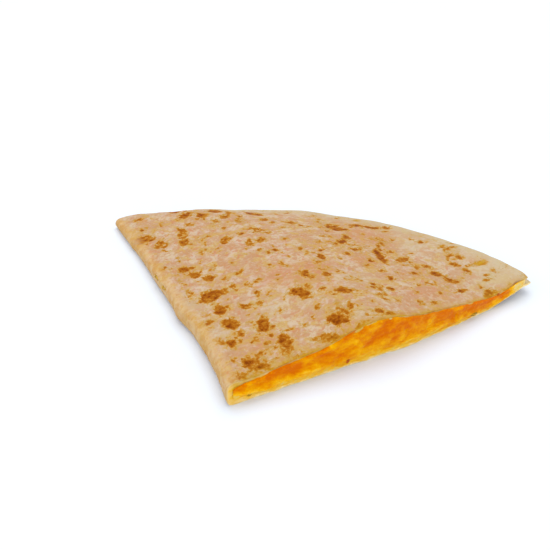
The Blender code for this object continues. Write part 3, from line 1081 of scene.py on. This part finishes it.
def tortilla_base(paint):
    """Untoasted tortilla: soft patches of cream, lilac, tan and rose, with yellow, peach and rosy clouds."""
    wide = paint.rise(paint.noise(8.0 * MM, 2.0, 0.5), -1.6, 1.6)
    base = paint.ramp(wide, ((0.08, ROSE), (0.36, TAN), (0.64, LILAC), (0.94, CREAM)))
    yellow = paint.rise(paint.noise(5.5 * MM, 2.0, 0.5, distortion=0.4), 0.1, 1.7, 0.0, 0.9)
    base = paint.mix(yellow, base, OCHRE)
    base = paint.mix(paint.value("warm", 0.85), base, SALMON)
    peach = paint.rise(paint.noise(3.0 * MM, 2.0, 0.55, distortion=0.4), 0.0, 1.9, 0.0, 0.8)
    base = paint.mix(peach, base, PEACH)
    rosy = paint.rise(paint.noise(2.4 * MM, 2.0, 0.5, distortion=0.6), 0.9, 2.0, 0.0, 0.8)
    base = paint.mix(rosy, base, SALMON)
    floury = paint.rise(paint.noise(1.3 * MM, 3.0), 0.2, 1.9, 0.0, 0.6)
    base = paint.mix(floury, base, CREAM)
    fine = paint.rise(paint.noise(1.1 * MM, 2.0), -0.2, 1.8, 0.0, 0.5)
    base = paint.mix(fine, base, PEACH)
    # Thin wandering lines of painted crease shade, broken up by noise.
    crease_shade_strength = paint.rise(paint.noise(5.0 * MM, 2.0), -0.2, 0.9, 0.0, 0.55)
    return paint.mix(paint.maths("MULTIPLY", paint.lines(4.5 * MM, 0.16), crease_shade_strength), base, CREASE_SHADE)


def sum_of(paint, *terms):
    """Adds values, each given with its weight."""
    total = 0.0
    for value, weight in terms:
        total = paint.maths("ADD", paint.maths("MULTIPLY", value, weight), total)
    return total


def tortilla_material():
    paint = Paint("toasted_tortilla")
    base = tortilla_base(paint)
    ragged = paint.noise(1.7 * MM, 4.0, 0.62, distortion=0.4)
    fine = paint.noise(0.9 * MM, 3.0, 0.65)
    specks = paint.specks(3.4 * MM, 0.45 * MM)
    base = paint.mix(paint.value("pale", 0.85), base, RIM_CREAM)
    browning = sum_of(paint, (paint.value("toasted"), 0.42), (paint.value("blister"), 0.64))
    unevenness = paint.maths("MULTIPLY", ragged, paint.rise(browning, 0.08, 0.40, 0.35, 1.0))
    toast = sum_of(paint, (browning, 1.0), (unevenness, 0.14), (fine, 0.03), (specks, 0.24))

    tint = paint.mix(paint.rise(paint.noise(4.0 * MM), -0.5, 1.2), OCHRE, OLIVE)
    base = paint.mix(paint.rise(toast, 0.12, 0.34, 0.0, 0.9), base, tint)
    scorch = paint.ramp(toast, ((0.32, GOLD), (0.50, AMBER), (0.74, BROWN), (1.0, DARK)))
    base = paint.mix(paint.rise(toast, 0.26, 0.44), base, scorch)
    # The fold's side, partly painted lighter for the light falling on it.
    mottled = sum_of(paint, (ragged, 0.5), (paint.noise(5.0 * MM, 2.0), 0.6))
    side = paint.mix(paint.rise(mottled, -0.9, 0.9), SIDE_GOLD, SIDE_CREAM)
    base = paint.mix(paint.value("side", 0.62), base, side)

    crumb = paint.mix(paint.rise(ragged, -0.8, 1.2, 0.0, 0.8), CRUMB, CRUMB_DARK)
    crumb = paint.mix(paint.value("warm"), crumb, CRUMB_FOLD)
    soaked = sum_of(paint, (paint.value("stain"), 0.85), (paint.noise(3.0 * MM), 0.16))
    stain = paint.mix(paint.value("warm"), STAIN, STAIN_FOLD)
    crumb = paint.mix(paint.rise(soaked, 0.1, 0.8), crumb, stain)
    base = paint.mix(paint.value("crumb"), base, crumb)
    gilt = paint.mix(paint.rise(fine, -1.0, 1.2, 0.0, 0.6), GOLDEN, AMBER)
    base = paint.mix(paint.value("golden"), base, gilt)

    paint.set(Base_Color=base, Roughness=paint.rise(toast, 0.3, 0.9, 0.75, 0.55))
    paint.set(Specular_IOR_Level=0.03, Specular_Tint=seen(255, 225, 180))
    paint.set(Subsurface_Weight=0.12, Subsurface_Scale=0.001)
    paint.shader.inputs["Subsurface Radius"].default_value = (1.0, 0.6, 0.3)
    grain = paint.noise(0.7 * MM, 4.0)
    pores = paint.noise(2.4 * MM, 3.0)
    paint.bump((pores, 0.010 * MM), (grain, 0.006 * MM), (toast, 0.05 * MM))
    return paint.material


def cheese_material():
    paint = Paint("melted_cheese")
    streak = paint.noise(1.5 * MM, 4.0, stretch=(1.5, 1.0, 0.9), distortion=0.5)
    fine = paint.noise(0.7 * MM, 3.0)
    yellowness = sum_of(paint, (paint.value("tone"), 1.0), (streak, 0.080), (fine, 0.04))
    colour = paint.ramp(yellowness, [(place, seen(*shade, CUT_LIGHT)) for place, shade in CHEESE_COLOURS])
    paint.set(Base_Color=colour, Roughness=0.40, Specular_IOR_Level=0.06)
    paint.set(Specular_Tint=seen(255, 205, 60))
    paint.set(Subsurface_Weight=0.15, Subsurface_Scale=0.0010)
    paint.shader.inputs["Subsurface Radius"].default_value = (1.0, 0.40, 0.05)
    paint.bump((paint.noise(1.4 * MM, 4.0), 0.014 * MM), (fine, 0.006 * MM))
    return paint.material


def bead_material():
    paint = Paint("oozed_cheese")
    patchy = paint.rise(paint.noise(0.9 * MM), -0.9, 1.1)
    paint.set(Base_Color=paint.mix(patchy, seen(232, 182, 66, LEVEL_LIGHT), seen(184, 134, 34, LEVEL_LIGHT)))
    paint.set(Roughness=0.45, Specular_IOR_Level=0.15)
    paint.bump((paint.noise(0.6 * MM), 0.03 * MM))
    return paint.material


def fleck_material():
    paint = Paint("seasoning_fleck")
    red = paint.mix(paint.rise(paint.noise(0.5 * MM), -1.0, 1.0), seen(200, 92, 8), seen(156, 62, 6))
    green = paint.mix(paint.rise(paint.noise(0.6 * MM), -1.0, 1.0), seen(206, 152, 24), seen(164, 118, 18))
    paint.set(Base_Color=paint.mix(paint.value("green"), red, green), Roughness=0.5)
    paint.set(Specular_IOR_Level=0.15)
    paint.bump((paint.noise(0.4 * MM), 0.03 * MM))
    return paint.material


def floor_material():
    paint = Paint("pale_floor")
    tint = paint.rise(paint.noise(0.35, 2.0), -1.5, 1.5)
    paint.set(Base_Color=paint.mix(tint, *FLOOR_TINTS), Roughness=0.8)
    paint.set(Specular_IOR_Level=0.05)
    return paint.material


# ---------------------------------------------------------------- stage, light and camera

FLOOR_HALF = 3.0
SKY = (0.90, 0.98, 1.10, 1.0)
SKY_STRENGTH = 0.90
AIM_ACROSS = 0.0449
AIM_ALONG = 0.0598
CAMERA_DISTANCE = 0.2522
CAMERA_ELEVATION = math.radians(31.48)
CAMERA_AZIMUTH = math.radians(-26.55)
CAMERA_LENS = 42.4
SENSOR_WIDTH = 36.0
# Each lamp's name, azimuth and elevation in degrees, strength, spread in degrees and colour.
LAMPS = (
    ("key_lamp", 152.0, 66.0, 1.35, 50.0, (1.0, 0.95, 0.82)),
    ("front_lamp", -15.0, 20.0, 0.60, 60.0, (1.0, 1.0, 1.0)),
    ("side_lamp", -95.0, 22.0, 0.60, 60.0, (1.0, 1.0, 1.0)),
)


def back_from(azimuth, elevation):
    """Unit vector towards a camera or lamp; azimuth 0 is on the cut's side, looking along +Y."""
    level = math.cos(elevation)
    return Vector((math.sin(azimuth) * level, -math.cos(azimuth) * level, math.sin(elevation)))


def make_camera():
    aim = CORNER + Vector((AIM_ACROSS, AIM_ALONG, 0.0))
    back = back_from(CAMERA_AZIMUTH, CAMERA_ELEVATION)
    camera = placed("camera", bpy.data.cameras.new("camera"))
    camera.location = aim + back * CAMERA_DISTANCE
    camera.rotation_euler = back.to_track_quat("Z", "Y").to_euler()
    camera.data.lens = CAMERA_LENS
    camera.data.sensor_width = SENSOR_WIDTH
    camera.data.clip_start = 0.005
    bpy.context.scene.camera = camera


def make_sun(name, azimuth, elevation, strength, spread, colour):
    """A soft lamp that lights everything alike from one side."""
    lamp = bpy.data.lights.new(name, "SUN")
    lamp.energy = strength
    lamp.color = colour
    lamp.angle = math.radians(spread)
    holder = placed(name, lamp)
    toward = back_from(math.radians(azimuth), math.radians(elevation))
    holder.rotation_euler = toward.to_track_quat("Z", "Y").to_euler()


def make_stage():
    data = bpy.data.meshes.new("floor")
    corners = [(x * FLOOR_HALF, y * FLOOR_HALF, 0.0) for x, y in ((-1, -1), (1, -1), (1, 1), (-1, 1))]
    data.from_pydata(corners, [], [(0, 1, 2, 3)])
    data.materials.append(floor_material())
    placed("floor", data)

    world = bpy.data.worlds.new("studio")
    world.use_nodes = True
    sky = world.node_tree.nodes["Background"]
    sky.inputs["Color"].default_value = SKY
    sky.inputs["Strength"].default_value = SKY_STRENGTH
    bpy.context.scene.world = world
    for lamp in LAMPS:
        make_sun(*lamp)
    bpy.context.scene.view_settings.view_transform = "Standard"
    bpy.context.scene.view_settings.look = "None"


def hand_over(piece, slot, *nodes):
    """Puts a piece on the frame's one body, in place of any CAD nodes named."""
    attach(piece, "root")
    if nodes:
        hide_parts(*nodes)


def main():
    make_camera()
    make_stage()
    hand_over(make_tortilla(tortilla_material()), "tortilla", "tortilla")
    hand_over(make_cheese(cheese_material()), "cheese", "filling")
    hand_over(make_beads(bead_material()), "cheese")
    hand_over(make_flecks(fleck_material()), "cheese")


main()
